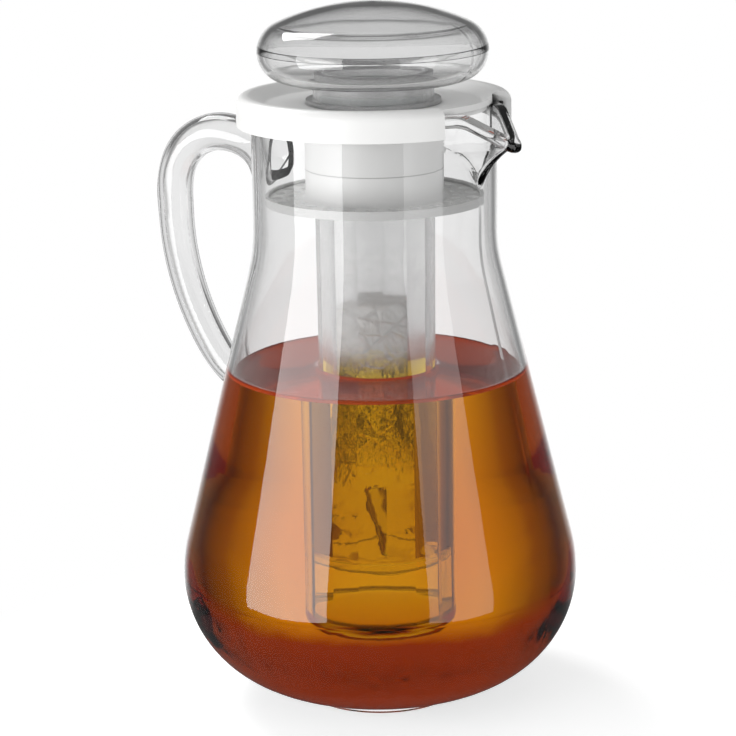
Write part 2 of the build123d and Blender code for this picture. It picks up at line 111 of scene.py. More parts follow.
# %% [markdown]
# ## Surroundings
# Clear plastic has no look of its own, it shows the room. Here the room is a white card ahead of the
# camera, walls beside and behind it, and a darker ceiling. A World shader gets the direction of each
# ray, so the walls can be a colour ramp over the angle from the middle of the card.
#
# There are three such rooms, because a photographer's black and white cards do the same for each part
# of a picture. Thin empty walls bend light little and show bright walls with one darker strip. Tea
# bends light far and shows brownish walls, darkest beside the card, which gives it dark flanks. A
# reflection shows dark walls, so that only the softboxes stand out as milky panes.
#
# Light Path tells which is which. The tea's sides are made of a Transparent shader, and Transparent
# Depth counts each meeting with one. The sides of the melt water count too, so it shows the tea's
# room. One meeting alone can also be a hidden lamp that the ray has passed, so two are asked for.
# Light that has left a painted surface gets an even fill, and the camera itself sees plain white.
# The counts are whole numbers, so their marks lie halfway.

# %% Directions in the room
BACKDROP_TURN = CAMERA_TURN + 90.0

world = bpy.data.worlds.new("studio")
scene.world = world
world.use_nodes = True
sky = world.node_tree
sky.nodes.clear()
direction = add_node(sky, "TexCoord").outputs["Generated"]
level_part = add_node(sky, "VectorMath", {0: direction, 1: (1, 1, 0)}, operation="MULTIPLY")
level_way = add_node(sky, "VectorMath", {0: level_part}, operation="NORMALIZE")
ahead = (cos(radians(BACKDROP_TURN)), sin(radians(BACKDROP_TURN)), 0.0)
facing = add_node(sky, "VectorMath", {0: level_way, 1: ahead}, operation="DOT_PRODUCT")
angle_off = add_node(sky, "Math", {0: facing.outputs["Value"]}, operation="ARCCOSINE")
half_turns = add_node(sky, "Math", {0: angle_off, 1: pi}, operation="DIVIDE")
upward = add_node(sky, "SeparateXYZ", {0: direction}).outputs["Z"]
print("middle of the backdrop at", BACKDROP_TURN, "degrees")

# %% Rooms
WHITE_CARD, PALE_WALL, GREY_STRIP, DARK_WALL = "FFFFFF", "F2F2F2", "989898", "303030"
GREY_CEILING, DIM_CEILING, WARM_CEILING = "7A7A7A", "686868", "AC6244"


def room(walls, ceiling, ceiling_from, ceiling_to):
    """Walls as pairs of angle and colour, and a ceiling that fades in as the ray points higher."""
    around = add_node(sky, "ValToRGB", {"Fac": half_turns})
    stops = around.color_ramp.elements
    for k, (angle, code) in enumerate(walls):
        stop = stops[k] if k < 2 else stops.new(angle / 180)
        stop.position = angle / 180
        stop.color = colour(code)
    over = add_node(sky, "MapRange", {"Value": upward, "From Min": ceiling_from, "From Max": ceiling_to})
    seen = add_node(sky, "Mix", {"Factor": over, "A": around, "B": colour(ceiling)}, data_type="RGBA")
    return add_node(sky, "Background", {"Color": seen.outputs["Result"]})


past_walls = room(((0, WHITE_CARD), (12, WHITE_CARD), (19, GREY_STRIP), (27, GREY_STRIP),
                   (36, "D8D8D8"), (60, PALE_WALL), (180, PALE_WALL)), GREY_CEILING, 0.04, 0.16)
past_tea = room(((0, WHITE_CARD), (14, WHITE_CARD), (29, "A08876"), (42, "523F34"), (56, "8E8074"),
                 (75, "A89C92"), (100, "C8BEB6"), (180, "D6CCC4")), WARM_CEILING, 0.0, 0.14)
in_gloss = room(((0, WHITE_CARD), (14, WHITE_CARD), (32, "707070"), (60, "3C3C3C"),
                 (105, DARK_WALL), (180, DARK_WALL)), DIM_CEILING, 0.04, 0.16)
print("three rooms for", scene.world.name)

# %% What each ray meets
FILL_LEVEL = 0.50
TEA_MET = 1.5
PAINT_MET = 0.5

fill = add_node(sky, "Background", {"Color": colour(WHITE_CARD), "Strength": FILL_LEVEL})
white = add_node(sky, "Background", {"Color": colour(WHITE_CARD), "Strength": 1.0})
path = add_node(sky, "LightPath").outputs
through_tea = add_node(sky, "Math", {0: path["Transparent Depth"], 1: TEA_MET}, operation="GREATER_THAN")
after_paint = add_node(sky, "Math", {0: path["Diffuse Depth"], 1: PAINT_MET}, operation="GREATER_THAN")
shown = add_node(sky, "MixShader", {0: through_tea, 1: past_walls, 2: past_tea})
shown = add_node(sky, "MixShader", {0: path["Is Transmission Ray"], 1: in_gloss, 2: shown})
shown = add_node(sky, "MixShader", {0: after_paint, 1: shown, 2: fill})
shown = add_node(sky, "MixShader", {0: path["Is Camera Ray"], 1: shown, 2: white})
add_node(sky, "OutputWorld", {"Surface": shown})
print("even fill of", FILL_LEVEL)

# %% [markdown]
# ## Softboxes
# Two softboxes stand in front, left and right of the camera, and a third hangs over the object
# from the left and behind, which throws the short grey shadow to the right of the foot. They are
# area lamps, hidden from the camera and from rays that clear things have bent. A bent ray would show
# them from behind as hard bright patches in the tea.

# %% Softboxes
LAMP_AIM = (0, 0, 0.13)


def softbox(name, turn, distance, height, size, power):
    """An area lamp that looks at the pitcher. turn is counted from the camera, to the right."""
    data = bpy.data.lights.new(name, "AREA")
    data.shape = "RECTANGLE"
    data.size, data.size_y = size
    data.energy = power
    lamp = bpy.data.objects.new(name, data)
    scene.collection.objects.link(lamp)
    at = radians(CAMERA_TURN - 90 + turn)
    lamp.location = (distance * cos(at), distance * sin(at), height)
    look = Vector(LAMP_AIM) - lamp.location
    lamp.rotation_euler = look.to_track_quat("-Z", "Y").to_euler()
    lamp.visible_camera = False
    lamp.visible_transmission = False


softbox("softbox_left", turn=-54, distance=0.9, height=0.16, size=(0.84, 0.64), power=7.9)
softbox("softbox_right", turn=45, distance=0.9, height=0.16, size=(0.62, 0.64), power=2.4)
softbox("softbox_over", turn=-135, distance=0.75, height=1.05, size=(0.5, 0.5), power=6.4)

# %% [markdown]
# ## Floor
# The table is a plain white round that the lamps light from one side, so it keeps the shadow. For the
# camera it also glows a little, which brings the lit part up to white, and away from the foot it
# turns into the backdrop's white. A bent ray does not meet it and goes on into the room. A reflection
# meets a darker paint, and beyond the shadow it goes on into the room as well.

# %% Floor
FLOOR_RADIUS = 0.30
FLOOR_SINK = 0.0002

bpy.ops.object.select_all(action="DESELECT")
bpy.ops.mesh.primitive_circle_add(vertices=96, radius=FLOOR_RADIUS, fill_type="NGON",
                                  location=(0, 0, -FLOOR_SINK))
floor = bpy.context.object
floor.name = "floor"
bpy.ops.object.transform_apply(location=True)
floor.visible_transmission = False
print("floor radius", FLOOR_RADIUS)

# %% Floor paint
SHADOW_RADIUS = 0.21
FADE_START = 0.6
FLOOR_GLOW = 0.455

table, tree = new_material("matt_white_table")
away = add_node(tree, "VectorMath", {0: add_node(tree, "TexCoord").outputs["Object"]}, operation="LENGTH")
fade = add_node(tree, "MapRange", {
    "Value": away.outputs["Value"], "From Min": SHADOW_RADIUS * FADE_START, "From Max": SHADOW_RADIUS},
    interpolation_type="SMOOTHSTEP")
paint = add_node(tree, "BsdfDiffuse", {"Color": colour("EFEFEF")})
glow = add_node(tree, "Emission", {"Color": colour("FFFFFF"), "Strength": FLOOR_GLOW})
lit = add_node(tree, "AddShader", {0: paint, 1: glow})
bare_white = add_node(tree, "Emission", {"Color": colour("FFFFFF"), "Strength": 1.0})
for_camera = add_node(tree, "MixShader", {0: fade, 1: lit, 2: bare_white})
mirrored = add_node(tree, "BsdfDiffuse", {"Color": colour("606060")})
open_air = add_node(tree, "BsdfTransparent")
path = add_node(tree, "LightPath").outputs
for_others = add_node(tree, "MixShader", {0: path["Is Diffuse Ray"], 1: mirrored, 2: paint})
for_others = add_node(tree, "MixShader", {0: fade, 1: for_others, 2: open_air})
shown = add_node(tree, "MixShader", {0: path["Is Camera Ray"], 1: for_others, 2: for_camera})
add_node(tree, "OutputMaterial", {"Surface": shown})
floor.data.materials.append(table)
print(table.name, "keeps the shadow within", SHADOW_RADIUS)

# %% [markdown]
# ## Light through clear walls
# A ray crosses the pitcher's wall, the tea, the tube's wall and the ice, and all of that again on
# the way out. Blender stops a ray after twelve bends, which would leave black patches, so the
# limits are raised. Light that clear things mirror onto the table is left out, because it only
# comes out as bright specks.

# %% Ray limits
scene.cycles.max_bounces = 32
scene.cycles.transmission_bounces = 32
scene.cycles.glossy_bounces = 12
scene.cycles.transparent_max_bounces = 48
scene.cycles.caustics_reflective = False
print("transmission bounces", scene.cycles.transmission_bounces)

# %% [markdown]
# ## Where things are wet
# Plastic bends light less where tea touches it than where air does. The bend depends on the ratio
# of the two indices, so the wetted side of a wall is given plastic over tea instead of plastic over
# air. The wetted part is found from the place on the piece, in its own coordinates. The inside of
# the body is told from its outside by its normal, which looks towards the belly's middle. Blender
# turns the normal round where a ray meets a face from behind, so that is undone first. The foot
# ring's inner side looks inwards too, so only what lies above the underside counts.

# %% Levels and indices
PLASTIC_INDEX = 1.54
WATER_INDEX = 1.333
TEA_LEVEL = 0.1456
MELT_LEVEL = 0.0647
MENISCUS = 0.0016


def object_place(tree):
    """A point on the piece, its height, and its distance from the upright axis."""
    point = add_node(tree, "TexCoord").outputs["Object"]
    split = add_node(tree, "SeparateXYZ", {0: point})
    flat = add_node(tree, "CombineXYZ", {"X": split.outputs["X"], "Y": split.outputs["Y"]})
    radius = add_node(tree, "VectorMath", {0: flat}, operation="LENGTH")
    return point, split.outputs["Z"], radius.outputs["Value"]


print("wet wall index", round(PLASTIC_INDEX / WATER_INDEX, 3))

# %% Wet part of the body
BELLY_MIDDLE = (0, 0, 0.056)
UNDERSIDE_TOP = 0.0088


def body_wetness(tree):
    """One where the pitcher's inner side is under the tea."""
    point, height, _ = object_place(tree)
    outward = add_node(tree, "VectorMath", {0: point, 1: BELLY_MIDDLE}, operation="SUBTRACT")
    normal = add_node(tree, "TexCoord").outputs["Normal"]
    along = add_node(tree, "VectorMath", {0: normal, 1: outward}, operation="DOT_PRODUCT")
    back = add_node(tree, "NewGeometry").outputs["Backfacing"]
    turn_back = add_node(tree, "Math", {0: back, 1: -2.0, 2: 1.0}, operation="MULTIPLY_ADD")
    true_along = add_node(tree, "Math", {0: along.outputs["Value"], 1: turn_back}, operation="MULTIPLY")
    inside = add_node(tree, "Math", {0: true_along, 1: 0.0}, operation="LESS_THAN")
    above_base = add_node(tree, "Math", {0: height, 1: UNDERSIDE_TOP}, operation="GREATER_THAN")
    under_tea = add_node(tree, "Math", {0: height, 1: TEA_LEVEL + MENISCUS}, operation="LESS_THAN")
    in_tea = add_node(tree, "Math", {0: above_base, 1: under_tea}, operation="MULTIPLY")
    return add_node(tree, "Math", {0: inside, 1: in_tea}, operation="MULTIPLY")


print("body wet inside up to", TEA_LEVEL + MENISCUS)

# %% Wet parts of the tube
TUBE_WALL_MIDDLE = 0.0240
TUBE_FLOOR_MIDDLE = 0.0382


def tube_wetness(tree):
    """One on the tube's outside under the tea and on its inside under the melt water."""
    _, height, radius = object_place(tree)
    within = add_node(tree, "Math", {0: radius, 1: TUBE_WALL_MIDDLE}, operation="LESS_THAN")
    above = add_node(tree, "Math", {0: height, 1: TUBE_FLOOR_MIDDLE}, operation="GREATER_THAN")
    bore = add_node(tree, "Math", {0: within, 1: above}, operation="MULTIPLY")
    level = add_node(tree, "Math", {0: bore, 1: MELT_LEVEL - TEA_LEVEL, 2: TEA_LEVEL + MENISCUS},
                     operation="MULTIPLY_ADD")
    return add_node(tree, "Math", {0: height, 1: level}, operation="LESS_THAN")


print("tube wet inside up to", MELT_LEVEL)

# %% [markdown]
# ## Mist and a painted dark ring
# The tube is cold, so above the tea its outside mists over, which makes it milky and uneven. The
# knob's plug hangs in the cold air of the tube and is misted all over. The corner at the foot of the
# tube's bore bends light away and shows as a thin dark ring. Its real rounding is too small to do
# that here, so the material paints the ring on as painted shade.

# %% Mist
MIST_START, MIST_FULL = TEA_LEVEL + 0.002, TEA_LEVEL + 0.012
DROP_WIDTH = 6 * MM


def mist_above_tea(tree):
    """How far the tube's outside has misted over: nothing in the tea, most of it above."""
    point, height, radius = object_place(tree)
    outside = add_node(tree, "Math", {0: radius, 1: TUBE_WALL_MIDDLE}, operation="GREATER_THAN")
    rise = add_node(tree, "MapRange", {"Value": height, "From Min": MIST_START, "From Max": MIST_FULL})
    drops = add_node(tree, "TexNoise", {"Vector": point, "Scale": 1 / DROP_WIDTH, "Detail": 5.0})
    patches = add_node(tree, "MapRange", {
        "Value": drops, "From Min": 0.35, "From Max": 0.6, "To Min": 0.7})
    broken_up = add_node(tree, "Math", {0: rise, 1: patches}, operation="MULTIPLY")
    return add_node(tree, "Math", {0: outside, 1: broken_up}, operation="MULTIPLY")


def mist_all_over(tree):
    """Most of the surface, a little uneven."""
    point = add_node(tree, "TexCoord").outputs["Object"]
    drops = add_node(tree, "TexNoise", {"Vector": point, "Scale": 1 / DROP_WIDTH, "Detail": 3.0})
    return add_node(tree, "MapRange", {
        "Value": drops, "From Min": 0.3, "From Max": 0.6, "To Min": 0.75})


print("mist from", MIST_START, "to", MIST_FULL, "metres up")

# %% Corner of the bore, a painted dark ring
CORNER_HEIGHT = 0.0406
CORNER_HALF, CORNER_EDGE = 0.4 * MM, 1.0 * MM
CORNER_INNER_RADIUS = 0.0203


def painted_dark_ring(tree):
    """Nearly one along the painted dark ring in the corner between the tube's bore and its floor."""
    _, height, radius = object_place(tree)
    above = add_node(tree, "Math", {0: height, 1: CORNER_HEIGHT}, operation="SUBTRACT")
    off_corner = add_node(tree, "Math", {0: above}, operation="ABSOLUTE")
    line = add_node(tree, "MapRange", {
        "Value": off_corner, "From Min": CORNER_HALF, "From Max": CORNER_EDGE,
        "To Min": 0.85, "To Max": 0.0})
    past_floor = add_node(tree, "Math", {0: radius, 1: CORNER_INNER_RADIUS}, operation="GREATER_THAN")
    in_bore = add_node(tree, "Math", {0: radius, 1: TUBE_WALL_MIDDLE}, operation="LESS_THAN")
    in_ring = add_node(tree, "Math", {0: past_floor, 1: in_bore}, operation="MULTIPLY")
    return add_node(tree, "Math", {0: line, 1: in_ring}, operation="MULTIPLY")


print("dark ring at", CORNER_HEIGHT)

# %% [markdown]
# ## Clear copolyester
# The body, handle, tube and knob are injection moulded copolyester: glossy, nearly colourless, and a
# little grey where light runs along inside a wall. That grey comes from absorption inside the
# plastic, not from a surface colour, so edges darken and flat parts stay clear. The knob's dome is
# thick in the photograph and gets the most of it. A very low, wide bump stands for the flow of the
# melt, and handling leaves a slight uneven haze.
#
# Light on its way to a painted surface passes clear things straight, by a Transparent shader for
# diffuse and shadow rays. A clear wall casts only a faint shadow, and light that comes both straight
# and bent would count the lamps twice.

# %% Light on its way
PLASTIC_TINT, PLASTIC_GREY, LAMP_TINT = "FBFBFB", "838484", "F3F3F3"


def let_lamps_through(tree, shader, tint):
    """The shader for rays that are seen, and a tinted straight passage for light on its way."""
    path = add_node(tree, "LightPath").outputs
    through = add_node(tree, "BsdfTransparent", {"Color": tint})
    seen = add_node(tree, "MixShader", {0: path["Is Diffuse Ray"], 1: shader, 2: through})
    return add_node(tree, "MixShader", {0: path["Is Shadow Ray"], 1: seen, 2: through})


print("a wall lets lamps through at", round(colour(LAMP_TINT)[0], 3))

# %% Clear plastic
PLASTIC_ABSORPTION = 17.0
FLOW_WIDTH = 26 * MM
HAZE_WIDTH = 9 * MM
SMEAR_HAZE = 0.012


def clear_plastic(name, wetness=None, mist=None, corner=None, absorption=PLASTIC_ABSORPTION, flow=0.04):
    """Clear copolyester. wetness, mist and corner are functions that mark parts of the surface."""
    material, tree = new_material(name)
    point = add_node(tree, "TexCoord").outputs["Object"]
    ripple = add_node(tree, "TexNoise", {"Vector": point, "Scale": 1 / FLOW_WIDTH, "Detail": 1.0})
    rub = add_node(tree, "TexNoise", {"Vector": point, "Scale": 1 / HAZE_WIDTH, "Detail": 4.0})
    rough = add_node(tree, "MapRange", {
        "Value": rub, "From Min": 0.5, "From Max": 0.8, "To Min": 0.0, "To Max": SMEAR_HAZE})
    bump = add_node(tree, "Bump", {"Height": ripple, "Strength": flow, "Distance": 1.0 * MM})
    clear = {"Base Color": colour(PLASTIC_TINT), "Transmission Weight": 1.0,
             "Roughness": rough, "Normal": bump}
    shader = add_node(tree, "BsdfPrincipled", {**clear, "IOR": PLASTIC_INDEX})
    if mist:
        misty = add_node(tree, "BsdfPrincipled", {
            "Base Color": colour("EAEAEA"), "Roughness": 0.24, "IOR": PLASTIC_INDEX,
            "Transmission Weight": 0.72})
        shader = add_node(tree, "MixShader", {0: mist(tree), 1: shader, 2: misty})
    if wetness:
        wet = add_node(tree, "BsdfPrincipled", {**clear, "IOR": PLASTIC_INDEX / WATER_INDEX})
        shader = add_node(tree, "MixShader", {0: wetness(tree), 1: shader, 2: wet})
    # Painted shade: where corner marks the bore's ring, a dark brown-grey copy of the plastic takes over.
    if corner:
        painted_shade = add_node(tree, "BsdfPrincipled", {
            **clear, "Base Color": colour("4A4640"), "IOR": PLASTIC_INDEX})
        shader = add_node(tree, "MixShader", {0: corner(tree), 1: shader, 2: painted_shade})
    surface = let_lamps_through(tree, shader, colour(LAMP_TINT))
    inner = add_node(tree, "VolumeAbsorption", {"Color": colour(PLASTIC_GREY), "Density": absorption})
    add_node(tree, "OutputMaterial", {"Surface": surface, "Volume": inner})
    return material


print("flow marks", FLOW_WIDTH, "and haze", HAZE_WIDTH, "metres wide")

# %% Clear pieces


def finish_nodes(material, *names):
    """Give a finish to nodes of the frame through their own material slots."""
    for name in names:
        for slot in nodes[name].material_slots:
            slot.material = material
    print(material.name, "on", ", ".join(names))


finish_nodes(clear_plastic("clear_copolyester_body", body_wetness), "pitcher_body")
finish_nodes(clear_plastic("clear_copolyester_handle"), "handle")
finish_nodes(clear_plastic("clear_copolyester_tube", tube_wetness, mist_above_tea, painted_dark_ring,
                           absorption=10.0, flow=0.12), "ice_tube")
finish_nodes(clear_plastic("clear_copolyester_knob", absorption=68.0, flow=0.10), "knob_dome")
finish_nodes(clear_plastic("clear_copolyester_knob_base", absorption=6.0), "knob_base")
finish_nodes(clear_plastic("clear_copolyester_plug_misted", mist=mist_all_over, absorption=2.0), "knob_plug")

# %% [markdown]
# ## White polypropylene
# The lid and the strainer are moulded in opaque white polypropylene. The mould's fine spark finish
# makes it satin: a soft highlight without a sharp image. Its real grain is finer than a tenth of a
# millimetre and is drawn coarser, so that it shows. Where the two mouldings meet on the sleeve there
# is a fine line. The real gap is too narrow to catch a shadow here, so a painted shadow darkens the
# colour along it. Ambient Occlusion finds the strainer's holes and the inner corners, and paints
# shade into the colour there as well.

# %% White plastic
SPARK_GRAIN = 0.45 * MM
CLOUD_WIDTH = 14 * MM
PARTING_HEIGHT = 0.2337
PARTING_WIDTH = 0.35 * MM
HOLE_REACH = 3 * MM

white_plastic, tree = new_material("white_polypropylene_satin")
point, height, _ = object_place(tree)
grain = add_node(tree, "TexNoise", {"Vector": point, "Scale": 1 / SPARK_GRAIN, "Detail": 2.0})
cloud = add_node(tree, "TexNoise", {"Vector": point, "Scale": 1 / CLOUD_WIDTH, "Detail": 3.0})
white = add_node(tree, "Mix", {"Factor": cloud, "A": colour("E5E5E4"), "B": colour("EBEBEA")},
                 data_type="RGBA")
# Painted shadow: the colour darkens along the parting line, where the gap is too narrow to cast one.
above = add_node(tree, "Math", {0: height, 1: PARTING_HEIGHT}, operation="SUBTRACT")
off_line = add_node(tree, "Math", {0: above}, operation="ABSOLUTE")
line = add_node(tree, "MapRange", {
    "Value": off_line, "From Max": PARTING_WIDTH, "To Min": 0.45, "To Max": 1.0})
# Painted shade: Ambient Occlusion darkens the colour in the strainer's holes and inner corners.
closed_in = add_node(tree, "AmbientOcclusion", {"Distance": HOLE_REACH}, samples=4)
painted_hollow_shade = add_node(tree, "MapRange", {
    "Value": closed_in.outputs["AO"], "From Min": 0.35, "From Max": 0.8, "To Min": 0.12})
painted_shade = add_node(tree, "Math", {0: line, 1: painted_hollow_shade}, operation="MULTIPLY")
shade = add_node(tree, "VectorMath", {0: white.outputs["Result"], "Scale": painted_shade}, operation="SCALE")
rough = add_node(tree, "MapRange", {"Value": grain, "To Min": 0.30, "To Max": 0.42})
bump = add_node(tree, "Bump", {"Height": grain, "Strength": 0.08, "Distance": 0.05 * MM})
satin = add_node(tree, "BsdfPrincipled", {
    "Base Color": shade, "Roughness": rough, "Normal": bump, "IOR": 1.49})
add_node(tree, "OutputMaterial", {"Surface": satin})
finish_nodes(white_plastic, "lid_collar", "strainer_ring")

# %% [markdown]
# ## Silicone seal
# A soft ring in the plug's groove. Silicone lets light in but spreads it, so it is cloudy and satin.

# %% Seal
CURE_CLOUD = 3 * MM

silicone, tree = new_material("translucent_silicone")
point = add_node(tree, "TexCoord").outputs["Object"]
cloud = add_node(tree, "TexNoise", {"Vector": point, "Scale": 1 / CURE_CLOUD, "Detail": 2.0})
rough = add_node(tree, "MapRange", {"Value": cloud, "To Min": 0.35, "To Max": 0.5})
soft = add_node(tree, "BsdfPrincipled", {
    "Base Color": colour("E6EAEA"), "IOR": 1.41, "Transmission Weight": 0.6, "Roughness": rough})
add_node(tree, "OutputMaterial", {"Surface": soft})
finish_nodes(silicone, "plug_seal")

# %% [markdown]
# ## Rings pulled into a turned shape
# The tea, the melt water, the ice and its bubble are turned shapes. Each starts as a small filled
# circle that is extruded, moved and resized ring after ring, as a potter pulls up a wall. The radii
# of tea and melt water are measured on the frame's own walls with rays, so that both always fit.

# %% Turned shapes


def pull_rings(name, rings, sides):
    """A closed turned shape from a list of radius and height, first and last near the axis."""
    bpy.ops.object.select_all(action="DESELECT")
    radius, height = rings[0]
    bpy.ops.mesh.primitive_circle_add(vertices=sides, radius=radius, fill_type="NGON",
                                      location=(0, 0, height))
    made = bpy.context.object
    made.name = name
    bpy.ops.object.transform_apply(location=True)
    bpy.ops.object.mode_set(mode="EDIT")
    bpy.ops.mesh.select_all(action="SELECT")
    for next_radius, next_height in rings[1:]:
        bpy.ops.mesh.extrude_region_move(
            TRANSFORM_OT_translate={"value": (0, 0, next_height - height)})
        grow = next_radius / radius
        bpy.ops.transform.resize(value=(grow, grow, 1), center_override=(0, 0, next_height))
        radius, height = next_radius, next_height
    bpy.ops.mesh.select_all(action="SELECT")
    bpy.ops.mesh.normals_make_consistent(inside=False)
    bpy.ops.object.mode_set(mode="OBJECT")
    bpy.ops.object.shade_smooth()
    print(name, "has", len(made.data.polygons), "faces")
    return made


def wall(node, start, towards):
    """Where a ray from one point towards another first meets a node, as radius and height."""
    start, towards = Vector(start), Vector(towards)
    found, spot, _, _ = nodes[node].ray_cast(start, (towards - start).normalized())
    assert found, f"no wall of {node} that way"
    return Vector((spot.x, spot.y)).length, spot.z


tea_edge = wall("pitcher_body", (0, 0, TEA_LEVEL), (0, 1, TEA_LEVEL))[0]
print("inside radius of the body at the tea:", round(tea_edge, 4))

# %% [markdown]
# ## Tea
# Black tea is clear and strongly coloured: it takes blue away within millimetres, green within
# centimetres and lets red through. So its colour is mainly in its volume, and depends on how much of
# it the light crosses. At the walls and round the tube it climbs in a small meniscus. Its sides touch
# plastic and bend nothing by themselves, while its open top bends light as water does.
#
# The shape follows the body's wall up from the middle of the base, crosses the top, goes down along
# the tube and closes under it. A gap of a twentieth of a millimetre keeps tea and plastic apart.

# %% Tea shape
LIQUID_GAP = 0.00005
CAPILLARY = 1.9 * MM
MENISCUS_STEPS = (0.3, 0.8, 1.5, 2.6, 4.2, 7.0)
BODY_STEPS, TUBE_STEPS, ROUND_STEPS = 44, 12, 24
BASE_ANGLE, TUBE_BASE_ANGLE = radians(-89.6), radians(-89.4)
TUBE_ROUND = 0.046
PROBE = 0.05
WET_EDGE = TEA_LEVEL + MENISCUS
TEA_FACETS = 160


def tea_rings():
    """Rings of the tea, from under the middle of the base to under the middle of the tube."""
    rings = []
    last = atan2(TEA_LEVEL - BELLY_MIDDLE[2], tea_edge)
    for k in range(BODY_STEPS + 1):
        a = BASE_ANGLE + (last - BASE_ANGLE) * k / BODY_STEPS
        radius, height = wall("pitcher_body", BELLY_MIDDLE, (0, cos(a), BELLY_MIDDLE[2] + sin(a)))
        rings.append((radius - LIQUID_GAP * cos(a), height - LIQUID_GAP * sin(a)))
    top_radius = wall("pitcher_body", (0, 0, WET_EDGE), (0, 1, WET_EDGE))[0] - LIQUID_GAP
    tube_radius = wall("ice_tube", (0, PROBE, WET_EDGE), (0, 0, WET_EDGE))[0] + LIQUID_GAP
    rings.append((top_radius, WET_EDGE))
    for away in MENISCUS_STEPS:
        rings.append((top_radius - away * MM, TEA_LEVEL + MENISCUS * exp(-away * MM / CAPILLARY)))
    for away in reversed(MENISCUS_STEPS):
        rings.append((tube_radius + away * MM, TEA_LEVEL + MENISCUS * exp(-away * MM / CAPILLARY)))
    rings.append((tube_radius, WET_EDGE))
    for k in range(1, TUBE_STEPS + 1):
        height = TEA_LEVEL + (TUBE_ROUND - TEA_LEVEL) * k / TUBE_STEPS
        rings.append((wall("ice_tube", (0, PROBE, height), (0, 0, height))[0] + LIQUID_GAP, height))
    for k in range(1, ROUND_STEPS + 1):
        a = TUBE_BASE_ANGLE * k / ROUND_STEPS
        start = (0, PROBE * cos(a), TUBE_ROUND + PROBE * sin(a))
        radius, height = wall("ice_tube", start, (0, 0, TUBE_ROUND))
        rings.append((radius + LIQUID_GAP * cos(a), height + LIQUID_GAP * sin(a)))
    return rings


tea = pull_rings("tea", tea_rings(), TEA_FACETS)

# %% [markdown]
# The absorption is set per metre for red, green and blue, read from how dark the photograph is where
# the light crosses a known depth of tea. The open top also has some red-brown colour of its own, for
# the light that cloudy tea spreads back. The photograph's floor and lid take hardly any colour from
# the tea, so diffuse rays leave it out, and the lamps' light meets it as a dark neutral pane.

# %% Tea colour
TEA_STRENGTH = 60.0
TEA_SHARES = (0.043, 0.180, 1.0)
TEA_TOP_COLOUR, TEA_TOP_CLEARNESS = "D0502A", 0.62
SWELL_WIDTH = 40 * MM
SKIN = 0.0001


def liquid(name, open_top, strength, shares, lamp_tint, top_colour="FFFFFF", clearness=1.0):
    """A clear liquid: bends light at its open top, nothing at sides that touch a wall."""
    material, tree = new_material(name)
    point, height, _ = object_place(tree)
    swell = add_node(tree, "TexNoise", {"Vector": point, "Scale": 1 / SWELL_WIDTH, "Detail": 0.0})
    bump = add_node(tree, "Bump", {"Height": swell, "Strength": 0.02, "Distance": 1.0 * MM})
    sides = add_node(tree, "BsdfTransparent")
    top = add_node(tree, "BsdfPrincipled", {
        "Base Color": colour(top_colour), "Roughness": 0.0, "IOR": WATER_INDEX,
        "Transmission Weight": clearness, "Normal": bump})
    is_top = add_node(tree, "Math", {0: height, 1: open_top - SKIN}, operation="GREATER_THAN")
    both = add_node(tree, "MixShader", {0: is_top, 1: sides, 2: top})
    surface = let_lamps_through(tree, both, colour(lamp_tint))
    kept = tuple(1 - s for s in shares) + (1,)
    depth = add_node(tree, "VolumeAbsorption", {"Color": kept, "Density": strength})
    add_node(tree, "OutputMaterial", {"Surface": surface, "Volume": depth})
    return material


tea.data.materials.append(liquid("black_tea", TEA_LEVEL, TEA_STRENGTH, TEA_SHARES, "202020",
                                 TEA_TOP_COLOUR, TEA_TOP_CLEARNESS))
tea.visible_diffuse = False
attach(tea, "pitcher")
print("tea takes away", [round(TEA_STRENGTH * s, 1) for s in TEA_SHARES], "per metre")

# %% [markdown]
# ## Melt water
# The ice has begun to melt, and its water stands in the bottom of the tube. The tube's bore has
# fourteen flat sides, so the water has them too. The bore has a corner on the X axis and the circle
# tool puts its first corner on the Y axis, so the water is turned by a quarter.

# %% Melt water
BORE_SIDES = 14
LOW_PROBE = 0.045
MELT_DIP = 0.0003
NEAR_AXIS = 0.0005


def melt_rings():
    """Rings of the melt water, from the tube's floor up to its top."""
    floor_height = wall("ice_tube", (0, 0, 0.1), (0, 0, 0))[1] + LIQUID_GAP
    low = wall("ice_tube", (0, 0, LOW_PROBE), (1, 0, LOW_PROBE))[0]
    high = wall("ice_tube", (0, 0, MELT_LEVEL), (1, 0, MELT_LEVEL))[0]
    drop = (LOW_PROBE - floor_height) / (MELT_LEVEL - LOW_PROBE)
    low_corner = low - (high - low) * drop - LIQUID_GAP
    corner = high - LIQUID_GAP
    return [(NEAR_AXIS, floor_height), (low_corner, floor_height), (corner, MELT_LEVEL),
            (corner - 0.4 * MM, MELT_LEVEL - MELT_DIP), (NEAR_AXIS, MELT_LEVEL - MELT_DIP)]


melt = pull_rings("melt_water", melt_rings(), BORE_SIDES)
melt.rotation_euler.z = -pi / 2
bpy.ops.object.transform_apply(rotation=True)
bpy.ops.object.shade_flat()
melt.data.materials.append(liquid("melt_water", MELT_LEVEL - 2 * SKIN, 0.5, (0.3, 0.2, 0.15), "F6F8F8"))
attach(melt, "tube")

# %% [markdown]
# ## Ice
# A block that was frozen in a tapering mould stands in the tube. It has melted to a loose fit, narrow
# at the top, with a rounded rim and a wavy, pitted side. It is a pulled shape whose rings are then
# pushed in and out by noise, so that it bends light unevenly, as wet ice does.

# %% Ice block
ICE_TOP = 0.1765
ICE_BOTTOM = 0.0600
ICE_TOP_RADIUS = 0.0139
ICE_TAPER = 0.072
ICE_AXIS = 0.6 * MM
ICE_STEPS = 90
ICE_FACETS = 96
ICE_LOW, ICE_HIGH = ICE_BOTTOM + 2 * MM, ICE_TOP - 3 * MM


